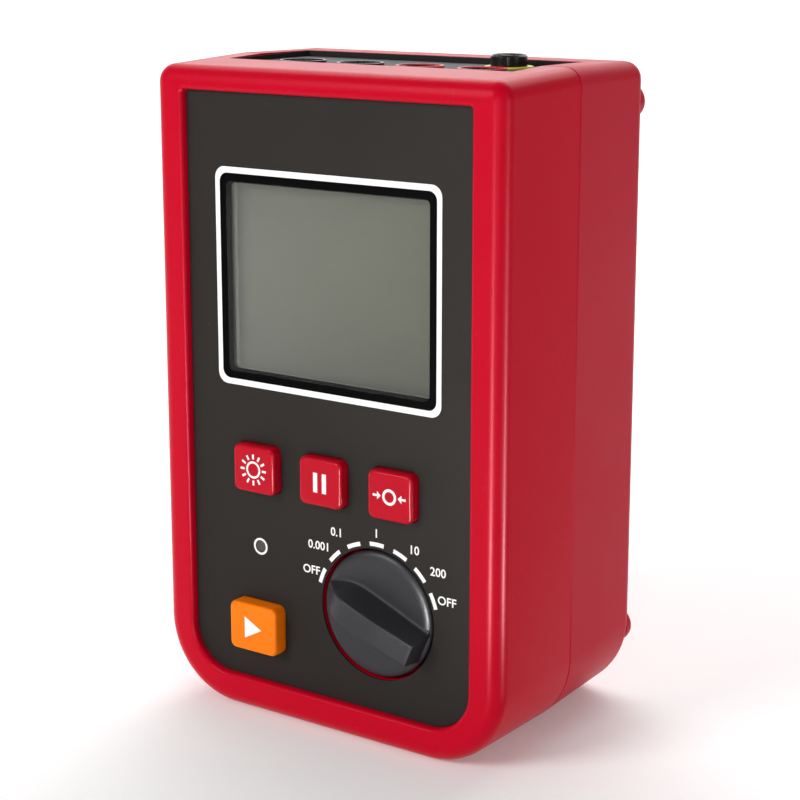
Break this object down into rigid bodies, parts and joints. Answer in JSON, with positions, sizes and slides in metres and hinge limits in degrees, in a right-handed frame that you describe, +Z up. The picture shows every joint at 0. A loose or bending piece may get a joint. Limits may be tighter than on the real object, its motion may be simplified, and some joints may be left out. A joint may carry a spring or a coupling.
{
  "type": "micro ohmmeter",
  "caption": "Hand-held micro ohmmeter in a tapered two-part case, with a recessed face, display, push keys, a range knob, shrouded sockets and a fuse carrier on top.",
  "frame": {"origin": "under the middle of the whole outline, on the face that the meter stands on", "axes": "+X to the right as seen from the front, +Y from the front face to the back, +Z up"},
  "size_m": [0.11, 0.0798, 0.1758],
  "materials": {
    "case_red": "satin moulded",
    "overlay_dark": "satin printed film",
    "clear_window": "clear",
    "display_grey": "satin",
    "guide_white": "frosted",
    "strip_pink": "matt",
    "key_red": "soft satin",
    "key_orange": "soft satin",
    "inner_black": "matt",
    "pipe_clear": "clear",
    "knob_grey": "fine texture",
    "steel": "bright",
    "brass": "bright",
    "rotor_cream": "satin",
    "board_green": "solder mask",
    "relay_blue": "gloss",
    "alloy": "bright",
    "sink_aluminium": "as extruded",
    "panel_dark": "satin",
    "socket_black": "gloss",
    "ring_red": "gloss",
    "ring_yellow": "gloss",
    "fuse_glass": "clear",
    "nickel": "bright",
    "cell_blue": "sleeve",
    "foot_red": "satin"
  },
  "bodies": {
    "meter": {"front_shell": "case_red", "rear_shell": "case_red", "front_overlay": "overlay_dark", "display_window": "clear_window", "display_frame": "inner_black", "display_glass": "display_grey", "light_guide": "guide_white", "connector_strips": "strip_pink", "switch_bodies": "inner_black", "light_pipe": "pipe_clear", "indicator_lamp": "guide_white", "shaft_bush": "brass", "main_board": "board_green", "power_board": "board_green", "input_board": "board_green", "board_link": "inner_black", "stacking_connector": "inner_black", "board_spacers": "brass", "board_screws": "steel", "control_chips": "inner_black", "capacitors": "inner_black", "relay": "relay_blue", "current_shunt": "alloy", "power_transistors": "inner_black", "heat_sink": "sink_aluminium", "buzzer": "inner_black", "top_panel": "panel_dark", "socket_bodies": "socket_black", "black_rings": "socket_black", "red_rings": "ring_red", "socket_contacts": "nickel", "socket_nuts": "steel", "fuse_ring": "ring_yellow", "fuse_holder": "socket_black", "fuse_nut": "socket_black", "fuse_contact": "brass", "battery_cells": "cell_blue", "battery_contacts": "nickel", "battery_door": "case_red", "door_screws": "steel", "rear_feet": "foot_red", "case_screws": "steel"},
    "light_button": {"light_key": "key_red", "light_plunger": "inner_black"},
    "hold_button": {"hold_key": "key_red", "hold_plunger": "inner_black"},
    "zero_button": {"zero_key": "key_red", "zero_plunger": "inner_black"},
    "test_button": {"test_key": "key_orange", "test_plunger": "inner_black"},
    "knob": {"range_knob": "knob_grey", "knob_shaft": "steel", "shaft_clip": "steel", "switch_rotor": "rotor_cream", "wiper_springs": "brass", "detent_ball": "steel", "detent_spring": "steel"},
    "fuse_link": {"fuse_glass": "fuse_glass", "fuse_end_caps": "nickel"},
    "fuse_carrier": {"fuse_cap": "socket_black"}
  },
  "joints": [
    {"name": "light_press", "type": "slide", "parent": "meter", "child": "light_button", "axis": [0, 1, 0], "range_m": [0, 0.001], "stiffness_N_per_m": 600},
    {"name": "hold_press", "type": "slide", "parent": "meter", "child": "hold_button", "axis": [0, 1, 0], "range_m": [0, 0.001], "stiffness_N_per_m": 600},
    {"name": "zero_press", "type": "slide", "parent": "meter", "child": "zero_button", "axis": [0, 1, 0], "range_m": [0, 0.001], "stiffness_N_per_m": 600},
    {"name": "test_press", "type": "slide", "parent": "meter", "child": "test_button", "axis": [0, 1, 0], "range_m": [0, 0.001], "stiffness_N_per_m": 600},
    {"name": "knob_turn", "type": "hinge", "parent": "meter", "child": "knob", "pos_m": [0.01575, -0.03105, 0.0353], "axis": [0, 1, 0], "range_deg": [0, 135]},
    {"name": "fuse_lift", "type": "slide", "parent": "meter", "child": "fuse_link", "axis": [0, 0, 1], "range_m": [0, 0.03]},
    {"name": "fuse_cap_turn", "type": "hinge", "parent": "fuse_link", "child": "fuse_carrier", "pos_m": [0.02805, 0.01045, 0.1725], "axis": [0, 0, 1], "range_deg": [0, 90]}
  ]
}
